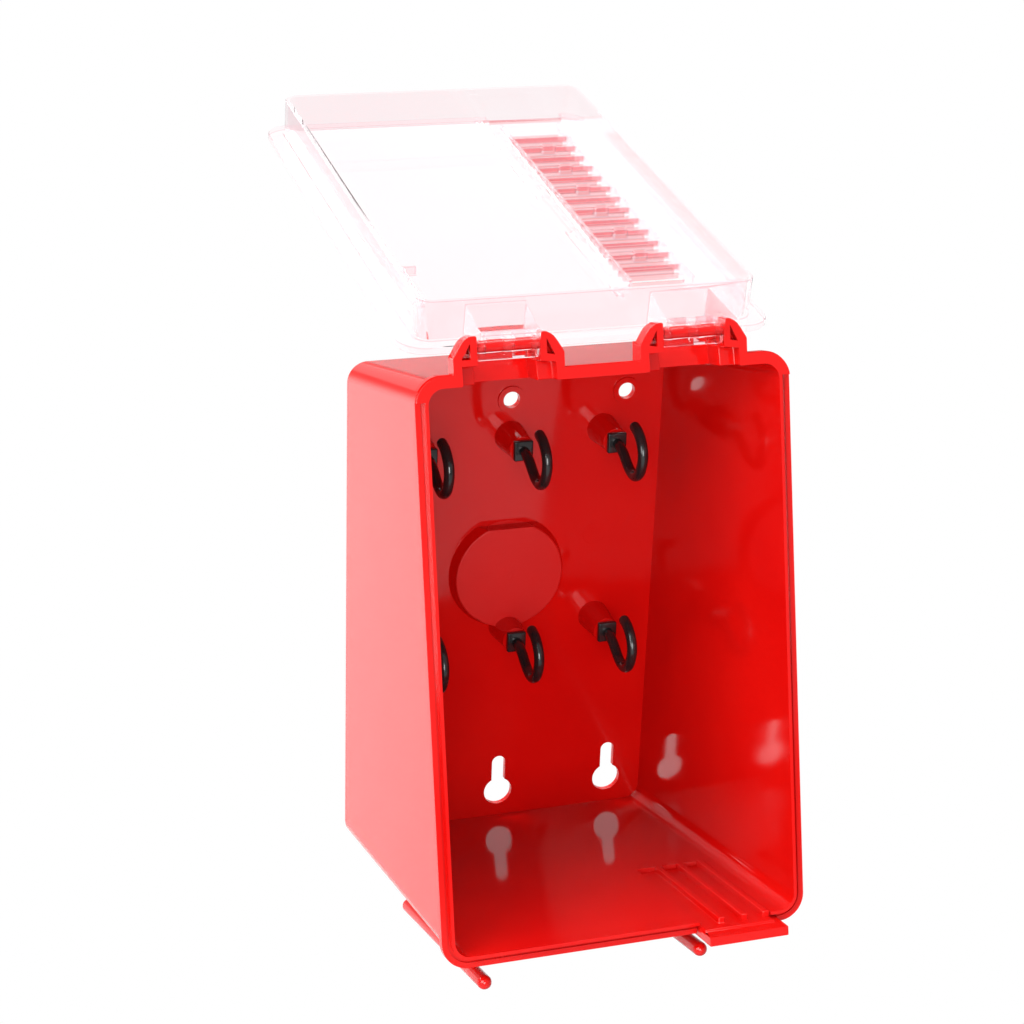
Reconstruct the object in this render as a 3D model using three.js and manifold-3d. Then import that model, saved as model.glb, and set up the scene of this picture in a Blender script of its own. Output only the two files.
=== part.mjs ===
// Wall-mounted lockout box: a red tray with a sloping front, six key and padlock hooks,
// and a clear cover that swings up and back on two snap hinges.
// Millimetres, +Z up, front towards -Y. The origin is a point on the flat back face,
// ORIGIN_Z above the bottom back edge; heights below are measured from that edge.
import * as THREE from 'three';
import { mergeVertices } from 'three/addons/utils/BufferGeometryUtils.js';
import Module from 'manifold-3d';

const wasm = await Module();
wasm.setup();

const ORIGIN_Z = 60;

// Front opening: tilt of the rim plane and the point at its middle.
const TILT = 14;
const RIM_Y = -144.25;
const RIM_Z = 147.15;
const RIM_W = 157;
const RIM_H = 237.3;
const RIM_R = 11;

// Tray walls.
const WALL = 2.5;
const TRAY_W = 152;
const TRAY_H = 232.3;
const TRAY_R = 9;
const DRAFT_SIDE = 0.0165;
const DRAFT_TOP = 0.0087;
const DRAFT_BOTTOM = 0.0349;
const FLANGE_BACK = -5.5;
const FLANGE_FRONT = -1.8;
const LIP_T = 1.3;
const GROOVE_W = 1.5;
const GROOVE_FLOOR = -2.7;
const BAND_V = 10;

// Back wall features.
const HOLE_PITCH = 54;
const HOLE_Z = 208;
const HOLE_D = 7.6;
const KEY_HEAD_Z = 13.4;
const KEY_TOP_Z = 31.7;
const KEY_HEAD_D = 13.4;
const KEY_SLOT_W = 6.4;
const DISC_Z = 126;
const DISC_FACE_D = 50;
const DISC_BASE_D = 54;
const DISC_RISE = 6;
const DISC_FLAT = 22.8;
const POCKET_D = 42;
const POCKET_DEPTH = 5.8;

// Hooks.
const HOOK_PITCH = 43.5;
const HOOK_ROWS = [190.8, 99];
const POST_RISE = 16.8;
const POST_FACE_D = 11.4;
const POST_BASE_D = 14.5;
const ROD_R = 2.3;
const HEAD_D = 6.6;
const SHANK_D = 3;

// Hinges.
const AXIS_V = 128.5;
const AXIS_N = -4;
const BAR_D = 5;
const TOWER_X = [-40, 37.2];
const EAR_OUT = 22.7;
const EAR_IN = 12.9;
const EAR_TOP = 132.9;
const EAR_FRONT = -0.3;
const EAR_BACK = -7.4;
const BRIDGE_V = 121.2;
const CHEEK_OUT = 18.6;
const CHANNEL_N = -17;
const RAMP_TOP_N = -18.4;
const RAMP_TOP_V = 121.8;
const FENCE_V = 124.6;
const WALL_IN_V = 113.6;
const OPEN_ANGLE = 248;

// Cover.
const PANEL_IN = 0.4;
const PANEL_OUT = 3.4;
const SKIRT_W = 143.2;
const SKIRT_TOP = 112.9;
const SKIRT_BOTTOM = -112.2;
const SKIRT_DEPTH = 17;
const SKIRT_T = 2;
const SLOTS = 14;
const SLOT_PITCH = 12.1;
const SLOT_W = 25;
const SLOT_H = 7;
const SLOT_X = 45;
const SLOT_FIRST_V = 69;

// Tongue and runners.
const TONGUE_LEFT = 31;
const TONGUE_RIGHT = 65.8;
const TONGUE_OUT = 11;
const TONGUE_IN = -75;
const TONGUE_T = 3.8;
const WINDOW_LEFT = 31.3;
const WINDOW_RIGHT = 62.8;
const WINDOW_IN = -72;
const RIB_W = 2.8;
const RIB_X = [41, 51.2, 60.8];
const RUNNER_X = [-59, 35];
const RUNNER_V = -128.7;
const RUNNER_D = 6;

const RED = 0xc8140f;
const RAD = Math.PI / 180;
const S = Math.sin(TILT * RAD);
const C = Math.cos(TILT * RAD);

// Rim frame: x across, v up along the sloping front, n out of the front.
const RIM_FRAME = new THREE.Matrix4().set(
  1, 0, 0, 0,
  0, S, -C, RIM_Y,
  0, C, S, RIM_Z,
  0, 0, 0, 1,
);

function solid(geometry) {
  const bare = geometry.clone();
  bare.deleteAttribute('normal');
  bare.deleteAttribute('uv');
  const merged = mergeVertices(bare, 1e-4);
  const vertProperties = Float32Array.from(merged.attributes.position.array);
  const triVerts = Uint32Array.from(merged.index.array);
  return new wasm.Manifold(new wasm.Mesh({ numProp: 3, vertProperties, triVerts }));
}

function surface(body) {
  const mesh = body.getMesh();
  const geometry = new THREE.BufferGeometry();
  const points = new Float32Array(mesh.numVert * 3);
  for (let i = 0; i < mesh.numVert; i += 1) {
    points[3 * i] = mesh.vertProperties[i * mesh.numProp];
    points[3 * i + 1] = mesh.vertProperties[i * mesh.numProp + 1];
    points[3 * i + 2] = mesh.vertProperties[i * mesh.numProp + 2];
  }
  geometry.setAttribute('position', new THREE.BufferAttribute(points, 3));
  geometry.setIndex(new THREE.BufferAttribute(Uint32Array.from(mesh.triVerts), 1));
  const flat = geometry.toNonIndexed();
  flat.computeVertexNormals();
  return flat;
}

function join(parts) {
  return parts.reduce((a, b) => a.add(b));
}

function cut(body, parts) {
  return parts.reduce((a, b) => a.subtract(b), body);
}

// A box given by its limits in the rim frame.
function rimBox(x0, x1, v0, v1, n0, n1) {
  const geometry = new THREE.BoxGeometry(x1 - x0, v1 - v0, n1 - n0);
  geometry.translate((x0 + x1) / 2, (v0 + v1) / 2, (n0 + n1) / 2);
  geometry.applyMatrix4(RIM_FRAME);
  return solid(geometry);
}

// A box given by its limits in the part's own axes.
function box(x0, x1, y0, y1, z0, z1) {
  const geometry = new THREE.BoxGeometry(x1 - x0, y1 - y0, z1 - z0);
  geometry.translate((x0 + x1) / 2, (y0 + y1) / 2, (z0 + z1) / 2);
  return solid(geometry);
}

function roundedRect(x0, x1, y0, y1, r) {
  const shape = new THREE.Shape();
  shape.moveTo(x0 + r, y0);
  shape.lineTo(x1 - r, y0);
  shape.absarc(x1 - r, y0 + r, r, -Math.PI / 2, 0, false);
  shape.lineTo(x1, y1 - r);
  shape.absarc(x1 - r, y1 - r, r, 0, Math.PI / 2, false);
  shape.lineTo(x0 + r, y1);
  shape.absarc(x0 + r, y1 - r, r, Math.PI / 2, Math.PI, false);
  shape.lineTo(x0, y0 + r);
  shape.absarc(x0 + r, y0 + r, r, Math.PI, 1.5 * Math.PI, false);
  return shape;
}

function extrude(shape, depth) {
  return new THREE.ExtrudeGeometry(shape, { depth, bevelEnabled: false, curveSegments: 8 });
}

// A rounded block in the rim frame, running from n0 to n1.
function rimSlab(x0, x1, v0, v1, r, n0, n1) {
  const geometry = extrude(roundedRect(x0, x1, v0, v1, r), n1 - n0);
  geometry.translate(0, 0, n0);
  geometry.applyMatrix4(RIM_FRAME);
  return solid(geometry);
}

// The drafted block of the tray, inset from its outer size.
function trayBlock(inset, front) {
  const w = TRAY_W / 2 - inset;
  const h = TRAY_H / 2 - inset;
  const geometry = extrude(roundedRect(-w, w, -h, h, TRAY_R - inset), 200 + front);
  geometry.translate(0, 0, -200);
  const points = geometry.attributes.position;
  for (let i = 0; i < points.count; i += 1) {
    const x = points.getX(i);
    const v = points.getY(i);
    const n = points.getZ(i);
    points.setX(i, x + Math.sign(x) * DRAFT_SIDE * n);
    points.setY(i, v + (v > 0 ? DRAFT_TOP : -DRAFT_BOTTOM) * n);
  }
  geometry.applyMatrix4(RIM_FRAME);
  return solid(geometry).subtract(box(-150, 150, -inset, 200, -150, 400));
}

// A profile drawn as n across and v up, drawn out along x between two limits.
function sideProfile(points, x0, x1) {
  const shape = new THREE.Shape(points.map(([n, v]) => new THREE.Vector2(-n, v)));
  const geometry = extrude(shape, x1 - x0);
  geometry.rotateY(Math.PI / 2);
  geometry.translate(x0, 0, 0);
  geometry.applyMatrix4(RIM_FRAME);
  return solid(geometry);
}

// A profile drawn as x across and v up, drawn out from n0 to n1.
function frontProfile(points, n0, n1) {
  const geometry = extrude(new THREE.Shape(points.map(([x, v]) => new THREE.Vector2(x, v))), n1 - n0);
  geometry.translate(0, 0, n0);
  geometry.applyMatrix4(RIM_FRAME);
  return solid(geometry);
}

// A round post or bore along Y, from y0 (back) to y1 (front).
function postY(x, z, y0, y1, d0, d1, sides) {
  const geometry = new THREE.CylinderGeometry(d0 / 2, d1 / 2, y0 - y1, sides);
  geometry.translate(0, (y0 + y1) / 2, 0);
  geometry.translate(x, 0, z);
  return solid(geometry);
}

// A round bar or bore along X on a line of the rim frame.
function barX(x0, x1, v, n, d, sides) {
  const geometry = new THREE.CylinderGeometry(d / 2, d / 2, x1 - x0, sides);
  geometry.rotateZ(Math.PI / 2);
  geometry.translate((x0 + x1) / 2, v, n);
  geometry.applyMatrix4(RIM_FRAME);
  return solid(geometry);
}

// A round disc with a flat on top, along Y.
function flatDisc(y0, y1, d0, d1, flat) {
  const disc = postY(0, DISC_Z, y0, y1, d0, d1, 48);
  return disc.subtract(box(-40, 40, -30, 10, DISC_Z + flat, DISC_Z + 60));
}

function keyhole(x) {
  const head = postY(x, KEY_HEAD_Z, 5, -8, KEY_HEAD_D, KEY_HEAD_D, 32);
  const end = postY(x, KEY_TOP_Z - KEY_SLOT_W / 2, 5, -8, KEY_SLOT_W, KEY_SLOT_W, 24);
  const top = KEY_TOP_Z - KEY_SLOT_W / 2;
  const slot = box(x - KEY_SLOT_W / 2, x + KEY_SLOT_W / 2, -8, 5, KEY_HEAD_Z, top);
  return join([head, end, slot]);
}

// Two ears with their pockets, the cheeks behind them and the ramp block between the cheeks.
function tower(x) {
  const parts = [];
  for (const side of [-1, 1]) {
    const across = (points) => points.map(([a, v]) => [x + side * a, v]);
    const outline = across([
      [EAR_OUT, 114.5], [EAR_OUT, 124.8], [20.1, 129.1], [18.8, 130.9], [17.4, 132],
      [15.6, EAR_TOP], [13.4, EAR_TOP], [EAR_IN, 132.5], [EAR_IN, 114.5],
    ]);
    const window = across([[15.6, 130.2], [15.6, 123.9], [19.1, 123.9]]);
    const pocket = frontProfile(window, EAR_FRONT - 4.5, 1);
    parts.push(frontProfile(outline, EAR_BACK, EAR_FRONT).subtract(pocket));
    const a0 = Math.min(x + side * EAR_IN, x + side * CHEEK_OUT);
    parts.push(rimBox(a0, a0 + CHEEK_OUT - EAR_IN, 114.5, BRIDGE_V + 0.4, RAMP_TOP_N, -5.2));
  }
  const half = CHEEK_OUT - 0.2;
  parts.push(rimBox(x - half, x + half, 114.5, FENCE_V, RAMP_TOP_N - 2.4, CHANNEL_N - 0.2));
  return join(parts);
}

// What is cut from a tower: the channel in front of the ramp, a notch in the ramp's top edge,
// and the recess under each ear's bridge, open to the inside of the tray.
function towerGaps(x) {
  const channel = [
    [1, 112.5], [1, 140], [RAMP_TOP_N, 140], [RAMP_TOP_N, RAMP_TOP_V],
    [CHANNEL_N, WALL_IN_V], [CHANNEL_N, 112.5],
  ];
  const recess = [[1, 112.4], [1, BRIDGE_V], [-6.4, BRIDGE_V], [-5.2, WALL_IN_V], [-5.2, 112.4]];
  const gaps = [
    sideProfile(channel, x - EAR_IN, x + EAR_IN),
    rimBox(x + 7.3, x + EAR_IN, 122.6, 130, RAMP_TOP_N - 4, RAMP_TOP_N + 0.4),
  ];
  for (const side of [-1, 1]) {
    const a0 = Math.min(x + side * (EAR_IN - 0.2), x + side * 19.2);
    gaps.push(sideProfile(recess, a0, a0 + 19.4 - EAR_IN));
  }
  return gaps;
}

// The narrow groove between the rim's flange and its inner lip.
function rimGroove() {
  const w = TRAY_W / 2 - WALL + LIP_T;
  const h = TRAY_H / 2 - WALL + LIP_T;
  const wide = w + GROOVE_W;
  const high = h + GROOVE_W;
  const outer = rimSlab(-wide, wide, -high, high, TRAY_R + 0.3, GROOVE_FLOOR, 2);
  return outer.subtract(rimSlab(-w, w, -h, h, TRAY_R - WALL + LIP_T, GROOVE_FLOOR - 1, 3));
}

function bodyShell() {
  const w = RIM_W / 2;
  const h = RIM_H / 2;
  const outside = [
    trayBlock(0, 0),
    rimSlab(-w, w, -h, h, RIM_R, FLANGE_BACK, FLANGE_FRONT),
  ];
  const raised = rimSlab(-w + 0.3, w - 0.3, -h, h - 0.3, RIM_R, FLANGE_BACK + 0.3, 0);
  const band = raised.subtract(rimBox(-w, w, -h - 1, h - BAND_V, FLANGE_BACK, 1));
  const top = [band, ...TOWER_X.map(tower)];
  const grooved = cut(join(outside), [rimGroove()]);
  const shell = cut(join([grooved, ...top]), [trayBlock(WALL, 2), ...TOWER_X.flatMap(towerGaps)]);
  const inside = [flatDisc(-WALL + 1, -WALL - DISC_RISE, DISC_BASE_D, DISC_FACE_D, DISC_FLAT)];
  const bores = [flatDisc(1, -POCKET_DEPTH, POCKET_D, POCKET_D, DISC_FLAT - 3)];
  for (const x of [-HOLE_PITCH, 0, HOLE_PITCH]) {
    inside.push(postY(x, HOLE_Z, -WALL + 1, -WALL - 0.8, 13, 12.4, 32));
    bores.push(postY(x, HOLE_Z, 5, -8, HOLE_D, HOLE_D, 32));
    bores.push(keyhole(x));
  }
  for (const z of HOOK_ROWS) {
    for (const x of [-HOOK_PITCH, 0, HOOK_PITCH]) {
      const face = -WALL - POST_RISE;
      inside.push(postY(x, z, -WALL + 1, face, POST_BASE_D, POST_FACE_D, 32));
      bores.push(postY(x, z, 2, -5, 7.6, 7.6, 24));
      bores.push(postY(x, z, 2, face - 2, 3.6, 3.6, 20));
      bores.push(box(x - 2.8, x + 2.8, face - 2, face + 8, z - 2.8, z + 2.8));
    }
  }
  for (const x of TOWER_X) {
    bores.push(barX(x - EAR_IN - 3, x + EAR_IN + 3, AXIS_V, AXIS_N, BAR_D + 0.6, 24));
  }
  bores.push(rimBox(WINDOW_LEFT, WINDOW_RIGHT, -124, -108, WINDOW_IN, 2));
  bores.push(rimBox(TONGUE_LEFT - 0.5, TONGUE_RIGHT + 0.5, -124, -116.12, -6.4, 2));
  return cut(join([shell, ...inside]), bores);
}

// The plate under the floor window, the pad that fills the window, and three ribs on the pad.
function tongue() {
  const line = (v, n) => v - DRAFT_BOTTOM * n;
  const strip = (v0, v1, n0, n1) => [
    [n0, line(v1, n0)], [n0, line(v0, n0)], [n1, line(v0, n1)], [n1, line(v1, n1)],
  ];
  const plate = strip(-116.5 - TONGUE_T, -116.5, TONGUE_IN, TONGUE_OUT);
  const pad = strip(-117, -115.45, WINDOW_IN + 0.4, 4.6);
  const parts = [
    sideProfile(plate, TONGUE_LEFT, TONGUE_RIGHT),
    sideProfile(pad, WINDOW_LEFT + 0.35, WINDOW_RIGHT - 0.35),
  ];
  for (const x of RIB_X) {
    const rib = strip(-116, -113, WINDOW_IN + 0.5, -0.5);
    parts.push(sideProfile(rib, x - RIB_W / 2, x + RIB_W / 2));
  }
  return join(parts);
}

// A round-nosed rod below the floor, held by a thin web that starts behind webFront.
function runner(x, webFront) {
  const rod = new THREE.CylinderGeometry(RUNNER_D / 2, RUNNER_D / 2, 110, 24);
  rod.rotateX(Math.PI / 2);
  rod.translate(x, RUNNER_V, -65.7);
  rod.applyMatrix4(RIM_FRAME);
  const parts = [solid(rod)];
  for (const n of [-10.7, -120.7]) {
    const nose = new THREE.SphereGeometry(RUNNER_D / 2, 20, 12);
    nose.rotateX(Math.PI / 2);
    nose.translate(x, RUNNER_V, n);
    nose.applyMatrix4(RIM_FRAME);
    parts.push(solid(nose));
  }
  const back = webFront - 8;
  const edge = (n) => -116.5 - DRAFT_BOTTOM * n;
  const web = [[back, edge(back)], [-118, edge(-118)], [-118, RUNNER_V], [webFront, RUNNER_V]];
  parts.push(sideProfile(web, x - 1.2, x + 1.2));
  return join(parts);
}

// A hook: square foot, short stub into its post, and a rod bent up to a rounded tip.
function hook(x, z) {
  const face = -WALL - POST_RISE;
  const path = new THREE.CatmullRomCurve3([
    [-20.5, 0], [-26, -0.6], [-32.5, -3.6], [-38, -6.6], [-44, -7.2], [-50, -3.4],
    [-52.4, 3.4], [-50.4, 9.4], [-45.6, 13.4], [-41.2, 14.6],
  ].map(([y, dz]) => new THREE.Vector3(x, y, z + dz)));
  const ring = new THREE.Shape();
  ring.absarc(0, 0, ROD_R, 0, 2 * Math.PI, false);
  const options = { steps: 22, bevelEnabled: false, extrudePath: path, curveSegments: 5 };
  const rod = new THREE.ExtrudeGeometry(ring, options);
  const tip = new THREE.SphereGeometry(ROD_R, 12, 8);
  tip.translate(x, -41.2, z + 14.6);
  const foot = box(x - 4.3, x + 4.3, face - 2.7, face - 0.3, z - 4.6, z + 4.6);
  const stub = box(x - 2.5, x + 2.5, face - 1, face + 7.7, z - 2.5, z + 2.5);
  const body = join([foot, stub, solid(rod), solid(tip)]);
  return body.subtract(postY(x, z, -5, face + 0.3, 3.6, 3.6, 20));
}

function screw(x, z) {
  const head = postY(x, z, -2.2, -4.7, HEAD_D - 0.6, HEAD_D, 24);
  const shank = postY(x, z, -4.5, -17.6, SHANK_D, SHANK_D, 16);
  const slot = box(x - 4, x + 4, -3.2, -1, z - 0.5, z + 0.5);
  return head.add(shank).subtract(slot);
}

// A clear block that snaps over the hinge bar, with two windows on its end.
function knuckle(x) {
  const outline = [
    [PANEL_IN + 1, 112], [-14.6, 112], [-14.6, 114.6], [-13.6, 119.6], [-12.2, 125.8],
    [-12, 132.4], [-10.8, 133.6], [-0.6, 133.6], [PANEL_IN, 132.6], [PANEL_IN, 114.8],
  ];
  const block = sideProfile(outline, x - 12.3, x + 12.3);
  const gaps = [barX(x - 13, x + 13, AXIS_V, AXIS_N, BAR_D + 0.18, 24)];
  gaps.push(rimBox(x - 13, x + 13, AXIS_V - 2, AXIS_V + 2, AXIS_N, 1));
  for (const side of [-1, 1]) {
    const a0 = Math.min(x + side * 2, x + side * 9.6);
    gaps.push(rimBox(a0, a0 + 7.6, 127.5, 140, -9.6, -1.8));
  }
  return cut(block, gaps);
}

function cover() {
  const w = RIM_W / 2;
  const h = RIM_H / 2;
  const s = SKIRT_W / 2;
  const parts = [rimSlab(-w, w, -h, h, RIM_R, PANEL_IN, PANEL_OUT)];
  const skirt = rimSlab(-s, s, SKIRT_BOTTOM, SKIRT_TOP, 7, PANEL_IN - SKIRT_DEPTH, PANEL_IN + 1);
  const i = s - SKIRT_T;
  const low = SKIRT_BOTTOM + SKIRT_T;
  const high = SKIRT_TOP - SKIRT_T;
  const inner = rimSlab(-i, i, low, high, 5, PANEL_IN - SKIRT_DEPTH - 1, PANEL_IN);
  parts.push(skirt.subtract(inner));
  const span = (SLOTS - 1) * SLOT_PITCH;
  const end = SLOT_FIRST_V - span;
  for (const x of [SLOT_X - 14.6, SLOT_X + 13.4]) {
    parts.push(rimBox(x, x + 1.2, end - 9, SLOT_FIRST_V + 9, -3.6, PANEL_IN + 1));
  }
  for (let k = 1; k < SLOTS; k += 1) {
    const v = SLOT_FIRST_V - (k - 0.5) * SLOT_PITCH;
    parts.push(rimBox(SLOT_X - 14, SLOT_X + 14, v - 0.6, v + 0.6, -2.4, PANEL_IN + 1));
    if (k % 2 === 0) {
      parts.push(rimBox(SLOT_X - 3, SLOT_X + 3, v - 2, v + 2, -3.6, PANEL_IN + 1));
    }
  }
  for (const [v0, v1] of [[-110.8, -19], [20, 85]]) {
    parts.push(rimBox(22, 23, v0, v1, -0.7, PANEL_IN + 1));
    parts.push(rimBox(24.6, 25.6, v0, v1, -0.7, PANEL_IN + 1));
  }
  parts.push(rimBox(-60.5, -59.3, 51, 82, -3.6, PANEL_IN + 1));
  parts.push(rimBox(-60.5, -54, 51, 52.2, -3.6, PANEL_IN + 1));
  parts.push(...TOWER_X.map(knuckle));
  const gaps = [];
  for (let k = 0; k < SLOTS; k += 1) {
    const v = SLOT_FIRST_V - k * SLOT_PITCH;
    const x = SLOT_X - SLOT_W / 2;
    gaps.push(rimBox(x, x + SLOT_W, v - SLOT_H / 2, v + SLOT_H / 2, -6, 8));
  }
  gaps.push(rimBox(TONGUE_LEFT - 1, TONGUE_RIGHT + 1, -130, -113.4, -4, 8));
  return cut(join(parts), gaps);
}

// Turns a piece from its closed place about the hinge line to its open place.
function swingOpen(geometry) {
  const y = RIM_Y + AXIS_V * S - AXIS_N * C;
  const z = RIM_Z + AXIS_V * C + AXIS_N * S;
  geometry.translate(0, -y, -z);
  geometry.rotateX(-OPEN_ANGLE * RAD);
  geometry.translate(0, y, z);
  return geometry;
}

const part = new THREE.Group();
part.name = 'lockout_box';

function add(name, geometry, color, roughness, metalness, extra = {}) {
  geometry.translate(0, 0, -ORIGIN_Z);
  const material = new THREE.MeshStandardMaterial({ color, roughness, metalness, ...extra });
  material.name = `${name}_material`;
  const mesh = new THREE.Mesh(geometry, material);
  mesh.name = name;
  part.add(mesh);
}

add('body_shell', surface(bodyShell()), RED, 0.25, 0);
const glassy = { transparent: true, opacity: 0.35 };
add('cover', swingOpen(surface(cover())), 0xf2e4e6, 0.08, 0, glassy);

for (const [side, x] of [['left', TOWER_X[0]], ['right', TOWER_X[1]]]) {
  const bar = barX(x - EAR_IN - 2.6, x + EAR_IN + 2.6, AXIS_V, AXIS_N, BAR_D, 24);
  add(`hinge_bar_${side}`, surface(bar), RED, 0.3, 0);
}
for (const [row, z] of [['upper', HOOK_ROWS[0]], ['lower', HOOK_ROWS[1]]]) {
  for (const [column, x] of [['left', -HOOK_PITCH], ['middle', 0], ['right', HOOK_PITCH]]) {
    add(`hook_${row}_${column}`, surface(hook(x, z)), 0x0c0c0d, 0.2, 0);
    add(`hook_screw_${row}_${column}`, surface(screw(x, z)), 0xb8babd, 0.35, 1);
  }
}
add('lock_tongue', surface(tongue()), RED, 0.25, 0);
add('runner_left', surface(runner(RUNNER_X[0], -44)), RED, 0.25, 0);
add('runner_right', surface(runner(RUNNER_X[1], TONGUE_IN - 2)), RED, 0.25, 0);
const magnet = flatDisc(-0.8, -POCKET_DEPTH + 0.4, POCKET_D - 0.8, POCKET_D - 0.8, DISC_FLAT - 3.4);
add('back_magnet', surface(magnet), 0x3a3a3c, 0.5, 0.6);

export default part;
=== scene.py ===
# Wall-mounted lockout box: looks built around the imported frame. Metres, +Z up, front towards -Y.
import math

import bmesh
import bpy
from mathutils import Matrix, Vector


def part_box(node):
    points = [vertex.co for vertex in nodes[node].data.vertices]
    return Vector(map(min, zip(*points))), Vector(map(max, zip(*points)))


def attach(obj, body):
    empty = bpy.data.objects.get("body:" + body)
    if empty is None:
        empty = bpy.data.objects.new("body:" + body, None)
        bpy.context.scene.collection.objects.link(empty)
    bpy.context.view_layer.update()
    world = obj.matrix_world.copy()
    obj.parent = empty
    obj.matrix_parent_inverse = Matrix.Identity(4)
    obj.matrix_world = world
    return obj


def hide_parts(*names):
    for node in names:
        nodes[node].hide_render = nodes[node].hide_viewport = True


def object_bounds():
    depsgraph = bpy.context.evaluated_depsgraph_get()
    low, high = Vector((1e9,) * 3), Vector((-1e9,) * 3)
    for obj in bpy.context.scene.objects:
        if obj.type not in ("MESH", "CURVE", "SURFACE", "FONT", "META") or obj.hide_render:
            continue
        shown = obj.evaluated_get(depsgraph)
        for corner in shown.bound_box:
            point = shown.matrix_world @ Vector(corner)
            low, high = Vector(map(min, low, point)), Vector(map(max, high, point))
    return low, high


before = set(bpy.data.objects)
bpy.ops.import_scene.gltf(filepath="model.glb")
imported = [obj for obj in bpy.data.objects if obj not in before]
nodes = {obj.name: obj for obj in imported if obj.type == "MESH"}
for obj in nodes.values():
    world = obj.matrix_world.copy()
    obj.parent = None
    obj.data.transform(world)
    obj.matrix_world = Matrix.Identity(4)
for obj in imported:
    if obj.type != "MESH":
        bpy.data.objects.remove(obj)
cad_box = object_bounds()

# ---------- camera, light, floor ----------

CAMERA_PLACE = (-0.33782, -0.9794, 0.5144)
CAMERA_TURNS = ((-19.16, "Z"), (-22.09, "X"), (-2.04, "Y"))    # degrees, from level and looking along +Y
LENS_MM = 87.62
LENS_SHIFT = (0.0012, -0.0006)
WORLD_FILL = 0.55
FLOOR_GAP = 0.10
FLOOR_HALF = 8
BOUNCES = 32


def make_camera():
    data = bpy.data.cameras.new("camera")
    data.lens = LENS_MM
    data.sensor_width = 36
    data.clip_start = 0.05
    data.clip_end = 60
    data.shift_x, data.shift_y = LENS_SHIFT
    cam = bpy.data.objects.new("camera", data)
    bpy.context.scene.collection.objects.link(cam)
    yaw, pitch, roll = (Matrix.Rotation(math.radians(turn), 3, axis) for turn, axis in CAMERA_TURNS)
    along_y = Matrix(((1, 0, 0), (0, 0, -1), (0, 1, 0)))
    turned = yaw @ pitch @ roll @ along_y
    cam.matrix_world = Matrix.Translation(CAMERA_PLACE) @ turned.to_4x4()
    bpy.context.scene.camera = cam


def area_light(name, place, target, size, watts):
    data = bpy.data.lights.new(name, "AREA")
    data.shape = "RECTANGLE"
    data.size, data.size_y = size
    data.energy = watts
    lamp = bpy.data.objects.new(name, data)
    bpy.context.scene.collection.objects.link(lamp)
    aim = (Vector(target) - Vector(place)).to_track_quat("-Z", "Y")
    lamp.matrix_world = Matrix.Translation(place) @ aim.to_matrix().to_4x4()


def mix_by_sight(tree, lit, seen, target):
    """One shader for rays from the camera or through clear plastic, the other for all other rays."""
    path = tree.nodes.new("ShaderNodeLightPath")
    either = tree.nodes.new("ShaderNodeMath")
    either.operation = "MAXIMUM"
    tree.links.new(path.outputs["Is Camera Ray"], either.inputs[0])
    tree.links.new(path.outputs["Is Transmission Ray"], either.inputs[1])
    mix = tree.nodes.new("ShaderNodeMixShader")
    tree.links.new(either.outputs[0], mix.inputs["Fac"])
    tree.links.new(lit, mix.inputs[1])
    tree.links.new(seen, mix.inputs[2])
    tree.links.new(mix.outputs[0], target)


def make_world():
    """White where it is looked at, straight or through clear plastic, and softer as a light."""
    world = bpy.data.worlds.new("studio")
    world.use_nodes = True
    tree = world.node_tree
    back = tree.nodes["Background"]
    back.inputs["Color"].default_value = (1, 1, 1, 1)
    back.inputs["Strength"].default_value = WORLD_FILL
    white = tree.nodes.new("ShaderNodeBackground")
    white.inputs["Color"].default_value = (1, 1, 1, 1)
    white.inputs["Strength"].default_value = 1.0
    mix_by_sight(tree, back.outputs[0], white.outputs[0], tree.nodes["World Output"].inputs["Surface"])
    bpy.context.scene.world = world


def make_floor():
    """A grey floor under the box that is white where it is looked at."""
    mesh = bpy.data.meshes.new("floor")
    bm = bmesh.new()
    bmesh.ops.create_grid(bm, x_segments=2, y_segments=2, size=FLOOR_HALF)
    bm.to_mesh(mesh)
    bm.free()
    floor = bpy.data.objects.new("floor", mesh)
    floor.location = (0, 0, cad_box[0][2] - FLOOR_GAP)
    bpy.context.scene.collection.objects.link(floor)
    mat = bpy.data.materials.new("pale_floor")
    mat.use_nodes = True
    tree = mat.node_tree
    bsdf = tree.nodes["Principled BSDF"]
    bsdf.inputs["Base Color"].default_value = (0.36, 0.355, 0.355, 1)
    bsdf.inputs["Roughness"].default_value = 0.9
    bsdf.inputs["Specular IOR Level"].default_value = 0.1
    glow = tree.nodes.new("ShaderNodeEmission")
    glow.inputs["Strength"].default_value = 1.0
    mix_by_sight(tree, bsdf.outputs[0], glow.outputs[0], tree.nodes["Material Output"].inputs["Surface"])
    mesh.materials.append(mat)


def make_studio():
    scene = bpy.context.scene
    scene.view_settings.view_transform = "Standard"
    scene.cycles.max_bounces = BOUNCES
    scene.cycles.transmission_bounces = BOUNCES
    scene.cycles.transparent_max_bounces = BOUNCES
    make_world()
    make_floor()
    on_box = (0, -0.05, 0.1)
    area_light("key_left", (-1.5, -0.9, 1.0), on_box, (1.2, 1.6), 46)
    area_light("top", (0.0, 0.1, 1.9), on_box, (1.6, 1.2), 42)
    area_light("front", (-0.5, -2.0, 0.55), on_box, (0.9, 0.9), 28)
    area_light("floor_behind", (-0.75, 0.9, 0.8), (-0.6, 0.8, -0.16), (1.0, 1.0), 28)
    area_light("back_card", (0.6, 2.2, 1.3), (0, 0, 0.1), (1.8, 1.4), 8)


# ---------- materials ----------

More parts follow.
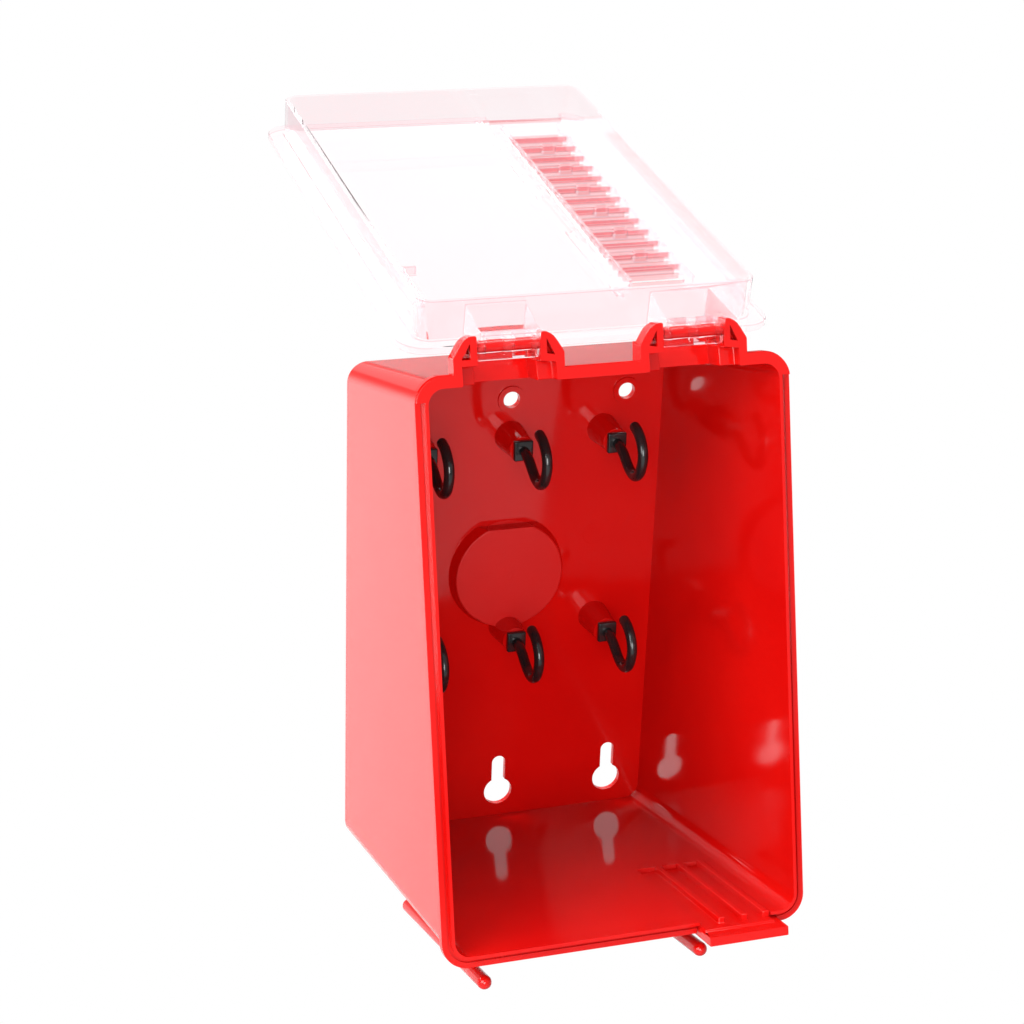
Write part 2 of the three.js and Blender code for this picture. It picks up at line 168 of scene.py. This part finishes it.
class Nodes:
    """A material and short ways to add nodes to it; the patterns follow object coordinates."""

    def __init__(self, name):
        self.mat = bpy.data.materials.new(name)
        self.mat.use_nodes = True
        self.tree = self.mat.node_tree
        self.bsdf = self.tree.nodes["Principled BSDF"]
        self.coords = self.tree.nodes.new("ShaderNodeTexCoord").outputs["Object"]

    def set(self, **values):
        """Values of the shader's own sockets; an underscore stands for a space."""
        for name, value in values.items():
            self.bsdf.inputs[name.replace("_", " ")].default_value = value

    def add(self, kind, **values):
        node = self.tree.nodes.new(kind)
        for key, value in values.items():
            setattr(node, key, value)
        return node

    def link(self, a, b):
        self.tree.links.new(a, b)

    def noise(self, scale, detail=3.0, rough=0.5, stretch=None):
        node = self.add("ShaderNodeTexNoise")
        node.inputs["Scale"].default_value = scale
        node.inputs["Detail"].default_value = detail
        node.inputs["Roughness"].default_value = rough
        source = self.coords
        if stretch:
            mapping = self.add("ShaderNodeMapping")
            mapping.inputs["Scale"].default_value = stretch
            self.link(source, mapping.inputs["Vector"])
            source = mapping.outputs["Vector"]
        self.link(source, node.inputs["Vector"])
        return node.outputs["Fac"]

    def span(self, value, lo, hi, low=0.3, high=0.7):
        """Low to high of a value, stretched over lo to hi and held there beyond it."""
        node = self.add("ShaderNodeMapRange")
        node.inputs["From Min"].default_value = low
        node.inputs["From Max"].default_value = high
        node.inputs["To Min"].default_value = lo
        node.inputs["To Max"].default_value = hi
        self.link(value, node.inputs["Value"])
        return node.outputs["Result"]

    def math(self, op, a, b):
        node = self.add("ShaderNodeMath", operation=op)
        for i, value in enumerate((a, b)):
            if isinstance(value, (int, float)):
                node.inputs[i].default_value = value
            else:
                self.link(value, node.inputs[i])
        return node.outputs["Value"]

    def mix(self, fac, a, b):
        node = self.add("ShaderNodeMix", data_type="RGBA")
        self.link(fac, node.inputs["Factor"])
        node.inputs["A"].default_value = (*a, 1)
        node.inputs["B"].default_value = (*b, 1)
        return node.outputs["Result"]

    def bump(self, height, strength, distance, normal=None):
        node = self.add("ShaderNodeBump")
        node.inputs["Strength"].default_value = strength
        node.inputs["Distance"].default_value = distance
        self.link(height, node.inputs["Height"])
        if normal:
            self.link(normal, node.inputs["Normal"])
        return node.outputs["Normal"]

    def distance(self, centre):
        node = self.add("ShaderNodeVectorMath", operation="DISTANCE")
        self.link(self.coords, node.inputs[0])
        node.inputs[1].default_value = centre
        return node.outputs["Value"]

    def near(self, centre, radius):
        """1 within a radius of a point, 0 beyond it."""
        soft_edge = 0.0003
        return self.span(self.distance(centre), 1.0, 0.0, radius, radius + soft_edge)

    def ring(self, centre, radius, width):
        """1 on a thin ring round a point, fading to 0."""
        gap = self.math("ABSOLUTE", self.math("SUBTRACT", self.distance(centre), radius), 0)
        return self.span(gap, 1.0, 0.0, 0.0, width)

    def tones(self, pattern, a, b):
        """The base colour: two tones mixed by a pattern."""
        self.link(self.mix(self.span(pattern, 0, 1), a, b), self.bsdf.inputs["Base Color"])

    def roughness(self, value):
        self.link(value, self.bsdf.inputs["Roughness"])

    def normal(self, value):
        self.link(value, self.bsdf.inputs["Normal"])


# The raised disc on the tray's back wall, and the faint round marks that moulding leaves.
DISC_CENTRE = Vector((0, -0.0085, 0.0660))
FROSTED_RADIUS = 0.0250
DIMPLE_RADIUS = 0.0012
DIMPLE_WIDTH = 0.0007
PIN_MARKS = (((0.0415, -0.0025, 0.0800), 0.0052), ((-0.0350, -0.0025, 0.1250), 0.0040))
PIN_MARK_WIDTH = 0.0006


def red_plastic():
    m = Nodes("red_abs")
    m.tones(m.noise(14, 2), (0.50, 0.0022, 0.0018), (0.56, 0.0045, 0.0030))
    frosted = m.near(DISC_CENTRE, FROSTED_RADIUS)
    scratches = m.noise(160, 6, 0.7, (1, 1, 6))
    gloss = m.span(m.noise(60, 4), 0.055, 0.11)
    m.roughness(m.math("ADD", gloss, m.math("MULTIPLY", frosted, m.span(scratches, 0.24, 0.50))))
    peel = m.bump(m.noise(420, 2), 0.05, 0.00005)
    marks = m.ring(DISC_CENTRE, DIMPLE_RADIUS, DIMPLE_WIDTH)
    for centre, radius in PIN_MARKS:
        marks = m.math("MAXIMUM", marks, m.ring(Vector(centre), radius, PIN_MARK_WIDTH))
    m.normal(m.bump(marks, 0.3, 0.00012, peel))
    m.set(IOR=1.53, Specular_IOR_Level=0.36, Subsurface_Weight=0.06, Subsurface_Scale=0.5)
    m.set(Subsurface_Radius=(0.004, 0.0006, 0.0004))
    return m.mat


def clear_plastic(name, pale, deep, rough):
    """Barely refracting, so nothing is doubled behind it, with its gloss in a coat."""
    m = Nodes(name)
    # The pink tones are painted reflection of the red tray in the clear plastic.
    m.tones(m.noise(9, 2), pale, deep)
    m.roughness(m.span(m.noise(40, 3), rough, rough + 0.03))
    m.normal(m.bump(m.noise(45, 2), 0.02, 0.0003))
    m.set(IOR=1.04, Transmission_Weight=1.0, Coat_Weight=0.7, Coat_IOR=1.35, Coat_Roughness=0.03)
    return m.mat


def black_nylon():
    m = Nodes("black_nylon")
    m.tones(m.noise(90, 3), (0.006, 0.006, 0.007), (0.013, 0.013, 0.014))
    m.roughness(m.span(m.noise(150, 4), 0.14, 0.26))
    m.normal(m.bump(m.noise(900, 3), 0.12, 0.00004))
    m.set(IOR=1.53)
    return m.mat


def zinc_steel():
    m = Nodes("zinc_steel")
    m.tones(m.noise(400, 4), (0.50, 0.52, 0.55), (0.66, 0.66, 0.64))
    m.roughness(m.span(m.noise(1200, 4), 0.24, 0.42))
    m.normal(m.bump(m.noise(1800, 3, 0.6, (1, 1, 9)), 0.12, 0.00004))
    m.set(Metallic=1.0)
    return m.mat


def ferrite():
    m = Nodes("ferrite")
    m.tones(m.noise(700, 5), (0.035, 0.035, 0.038), (0.07, 0.068, 0.066))
    m.roughness(m.span(m.noise(300, 4), 0.45, 0.7))
    m.normal(m.bump(m.noise(1500, 5), 0.3, 0.0001))
    m.set(Metallic=0.3)
    return m.mat


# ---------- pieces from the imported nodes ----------

SHARP_ANGLE = math.radians(28)          # a sharper edge is an edge of the object
FACET_ANGLE = math.radians(1)           # a flatter edge lies within a flat face
FLAT_ANGLE = math.radians(0.6)          # faces that meet at less are joined
NARROW_ANGLE = math.radians(20)         # between two sharp edges that leave a corner side by side
EDGE_ROOM = 1.8                         # shortest edge that is rounded, in widths of the rounding
SHELL_EDGE_ROOM = 4                     # the same on the tray, whose small holes stay crisp


def place(name, bm, material, body, slot, replaced):
    mesh = bpy.data.meshes.new(name)
    bm.to_mesh(mesh)
    bm.free()
    mesh.materials.clear()
    mesh.materials.append(material)
    for face in mesh.polygons:
        face.material_index = 0
    piece = bpy.data.objects.new(name, mesh)
    bpy.context.scene.collection.objects.link(piece)
    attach(piece, body)
    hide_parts(*replaced)
    return piece


def is_sharp(edge):
    return edge.is_manifold and edge.calc_face_angle() > SHARP_ANGLE


def is_curved(edge):
    """True between two facets of a curved face."""
    return edge.is_manifold and FACET_ANGLE < edge.calc_face_angle() < SHARP_ANGLE


def narrow_corner(vert, sharp):
    """True where two sharp edges leave a vertex almost side by side."""
    ways = [(e.other_vert(vert).co - vert.co).normalized() for e in vert.link_edges if e in sharp]
    return any(a.dot(b) > math.cos(NARROW_ANGLE) for i, a in enumerate(ways) for b in ways[:i])


def open_edges(bm, width, room):
    """Sharp edges with room for rounding: away from short edges and very narrow corners."""
    sharp = {e for e in bm.edges if is_sharp(e)}
    tight = {v for e in sharp if e.calc_length() < room * width for v in e.verts}
    tight |= {v for e in sharp for v in e.verts if narrow_corner(v, sharp)}
    return [e for e in bm.edges if e in sharp and not tight.intersection(e.verts)]


def weigh_edges(bm, width, room):
    """Full bevel weight on the open edges; the other sharp edges stay crisp."""
    weight = bm.edges.layers.float.new("bevel_weight_edge")
    chosen = set(open_edges(bm, width, room))
    for edge in bm.edges:
        if edge in chosen:
            edge[weight] = 1.0
        elif is_sharp(edge):
            edge.smooth = False


def clean_faces(node, merge):
    """A node's own shape without slivers: short edges closed up, flat faces cut afresh."""
    bm = bmesh.new()
    bm.from_mesh(nodes[node].data)
    bmesh.ops.remove_doubles(bm, verts=bm.verts, dist=merge)
    bmesh.ops.dissolve_limit(bm, angle_limit=FLAT_ANGLE, verts=bm.verts, edges=bm.edges)
    for face in bm.faces:
        face.smooth = any(is_curved(edge) for edge in face.edges)
    bmesh.ops.triangulate(bm, faces=bm.faces, ngon_method="EAR_CLIP")
    return bm


def even_normals(piece):
    """Shading that follows the large faces."""
    even = piece.modifiers.new("even_normals", "WEIGHTED_NORMAL")
    even.mode = "FACE_AREA"
    even.weight = 90
    even.keep_sharp = True


def round_edges(piece, width, segments):
    mod = piece.modifiers.new("rounded_edges", "BEVEL")
    mod.width = width
    mod.segments = segments
    mod.limit_method = "WEIGHT"
    mod.use_clamp_overlap = False
    mod.miter_outer = "MITER_ARC"


def rounded_node(node, material, body, slot, width, segments=3, merge=0.00002, room=EDGE_ROOM):
    """A node's own shape with its open edges rounded."""
    bm = clean_faces(node, merge)
    weigh_edges(bm, width, room)
    piece = place(node + "_moulding", bm, material, body, slot, [node])
    round_edges(piece, width, segments)
    even_normals(piece)


# ---------- cover ----------

COVER_CHAMFER = 0.0003
COVER_MERGE = 0.00025
COVER_CREASE = math.radians(20)
COVER_OUT = Vector((0, 0.1392, -0.9903))    # the way the open cover's outer face looks
LADDER_X = (0.0312, 0.0588)                 # the ladder of slots, from side to side
SLOT_WALL_LEAN = 0.3                        # a slot's long walls face that way, or X, by less than this
# The cover's face marks: its own clear plastic, the chamfers painted with a reflection of the red tray,
# and the slot walls with a deeper painted reflection.
BODY_MARK, REFLECTION_EDGE_MARK, REFLECTION_SLOT_MARK = 0, 1, 2


def make_cover(material, painted_reflection_edge_material, painted_reflection_slot_material):
    """The clear cover: its chamfers carry a deeper pink, a painted reflection of the red tray, and its
    slot walls the deepest pink, painted reflection too.
    """
    bm = clean_faces("cover", COVER_MERGE)
    for face in bm.faces:
        face.material_index = BODY_MARK
    bmesh.ops.bevel(bm, geom=open_edges(bm, COVER_CHAMFER, EDGE_ROOM), offset=COVER_CHAMFER, segments=1,
                    profile=0.5, affect="EDGES", clamp_overlap=False, material=REFLECTION_EDGE_MARK)
    marks = []
    for face in bm.faces:
        inside = LADDER_X[0] < face.calc_center_median().x < LADDER_X[1]
        upright = abs(face.normal.dot(COVER_OUT)) < SLOT_WALL_LEAN and abs(face.normal.x) < SLOT_WALL_LEAN
        marks.append(REFLECTION_SLOT_MARK if inside and upright else face.material_index)
    cover = place("cover_moulding", bm, material, "cover", "clear_plastic", ["cover"])
    cover.data.materials.append(painted_reflection_edge_material)
    cover.data.materials.append(painted_reflection_slot_material)
    for face, mark in zip(cover.data.polygons, marks):
        face.material_index = mark
    cover.data.set_sharp_from_angle(angle=COVER_CREASE)
    even_normals(cover)


# ---------- hooks ----------

# Y, and height above the shank, of points along a hook's centre line.
HOOK_PATH = (
    (-0.0190, 0.0), (-0.0240, -0.0003), (-0.0290, -0.0018), (-0.0340, -0.0046), (-0.0385, -0.0067),
    (-0.0440, -0.0072), (-0.0492, -0.0040), (-0.0520, 0.0020), (-0.0518, 0.0068), (-0.0494, 0.0106),
    (-0.0455, 0.0134), (-0.0412, 0.0146),
)
HOOK_RADIUS = 0.0023
SHANK_ABOVE_LOWEST = 0.0095
PATH_STEPS = 7
TIP_RINGS = 8
COLLAR_HALF = (0.0043, 0.0046)
COLLAR_Y = (-0.0220, -0.0196)
COLLAR_ROUND = 0.0006
STEM_HALF = 0.0025
STEM_Y = (-0.0203, -0.0116)
STEM_ROUND = 0.0003


def smooth_path(points, steps):
    """Points along a Catmull-Rom curve through the given points."""
    ends = [2 * points[0] - points[1], *points, 2 * points[-1] - points[-2]]
    line = []
    for i in range(1, len(ends) - 2):
        a, b, c, d = ends[i - 1:i + 3]
        for k in range(steps):
            t = k / steps
            line.append(0.5 * (2 * b + (c - a) * t + (2 * a - 5 * b + 4 * c - d) * t * t
                               + (3 * b - a - 3 * c + d) * t ** 3))
    line.append(points[-1])
    return line


def tube(bm, line, radii, side, sides=24):
    """A closed tube along a flat curve, side being the normal of the curve's plane."""
    rings = []
    for i, point in enumerate(line):
        along = (line[min(i + 1, len(line) - 1)] - line[max(i - 1, 0)]).normalized()
        across = along.cross(side).normalized()
        ring = []
        for k in range(sides):
            turn = 2 * math.pi * k / sides
            ring.append(bm.verts.new(point + radii[i] * (math.cos(turn) * side + math.sin(turn) * across)))
        rings.append(ring)
    for a, b in zip(rings, rings[1:]):
        for k in range(sides):
            bm.faces.new((a[k], a[(k + 1) % sides], b[(k + 1) % sides], b[k]))
    bm.faces.new(rings[0][::-1])
    bm.faces.new(rings[-1])


def rounded_box(bm, low, high, r, steps=4):
    """A box with rounded edges and corners."""
    box = bmesh.new()
    bmesh.ops.create_cube(box, size=1)
    size = [h - l for l, h in zip(low, high)]
    mid = [(h + l) / 2 for l, h in zip(low, high)]
    bmesh.ops.scale(box, vec=size, verts=box.verts)
    bmesh.ops.bevel(box, geom=box.edges, offset=r, segments=steps, profile=0.5, affect="EDGES")
    bmesh.ops.translate(box, vec=mid, verts=box.verts)
    mesh = bpy.data.meshes.new("part")
    box.to_mesh(mesh)
    box.free()
    bm.from_mesh(mesh)
    bpy.data.meshes.remove(mesh)


def make_hook(name, material):
    """A hook with a round tip, its square collar, and the square stem in its post."""
    low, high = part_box(name)
    x = (low[0] + high[0]) / 2
    z = low[2] + SHANK_ABOVE_LOWEST
    bm = bmesh.new()
    line = smooth_path([Vector((x, y, z + dz)) for y, dz in HOOK_PATH], PATH_STEPS)
    radii = [HOOK_RADIUS] * len(line)
    end = (line[-1] - line[-2]).normalized()
    tip = line[-1]
    for k in range(1, TIP_RINGS):
        a = math.pi / 2 * k / TIP_RINGS
        line.append(tip + end * HOOK_RADIUS * math.sin(a))
        radii.append(HOOK_RADIUS * math.cos(a))
    tube(bm, line, radii, Vector((1, 0, 0)))
    wide, tall = COLLAR_HALF
    rounded_box(bm, (x - wide, COLLAR_Y[0], z - tall), (x + wide, COLLAR_Y[1], z + tall), COLLAR_ROUND)
    half = STEM_HALF
    rounded_box(bm, (x - half, STEM_Y[0], z - half), (x + half, STEM_Y[1], z + half), STEM_ROUND, 2)
    for face in bm.faces:
        face.smooth = True
    place(name + "_moulding", bm, material, "box", "black_plastic", [name])


# ---------- the object ----------

ROUNDING = 0.0004
SCREW_ROUNDING = 0.0002
SHELL_MERGE = 0.00005

make_camera()
make_studio()
red = red_plastic()
# The cover's pale pink is painted reflection of the red tray.
clear = clear_plastic("clear_polycarbonate", (0.985, 0.900, 0.915), (0.975, 0.875, 0.895), 0.01)
# Deeper pinks for the cover's chamfers and slot walls: painted reflection of the red tray, not a colour of
# the plastic.
reflection_edge_clear = clear_plastic("clear_polycarbonate_painted_reflection_edge", (0.90, 0.62, 0.66), (0.86, 0.56, 0.61), 0.08)
reflection_slots_clear = clear_plastic("clear_polycarbonate_painted_reflection_slots", (0.92, 0.46, 0.48), (0.88, 0.38, 0.41), 0.08)
black = black_nylon()
zinc = zinc_steel()
dark = ferrite()

rounded_node("body_shell", red, "box", "red_plastic", ROUNDING, 3, SHELL_MERGE, SHELL_EDGE_ROOM)
make_cover(clear, reflection_edge_clear, reflection_slots_clear)
for part in ("hinge_bar_left", "hinge_bar_right", "lock_tongue", "runner_left", "runner_right"):
    rounded_node(part, red, "box", "red_plastic", ROUNDING)
rounded_node("back_magnet", dark, "box", "magnet", ROUNDING)
for row in ("upper", "lower"):
    for column in ("left", "middle", "right"):
        make_hook(f"hook_{row}_{column}", black)
        rounded_node(f"hook_screw_{row}_{column}", zinc, "box", "zinc_steel", SCREW_ROUNDING, 2)
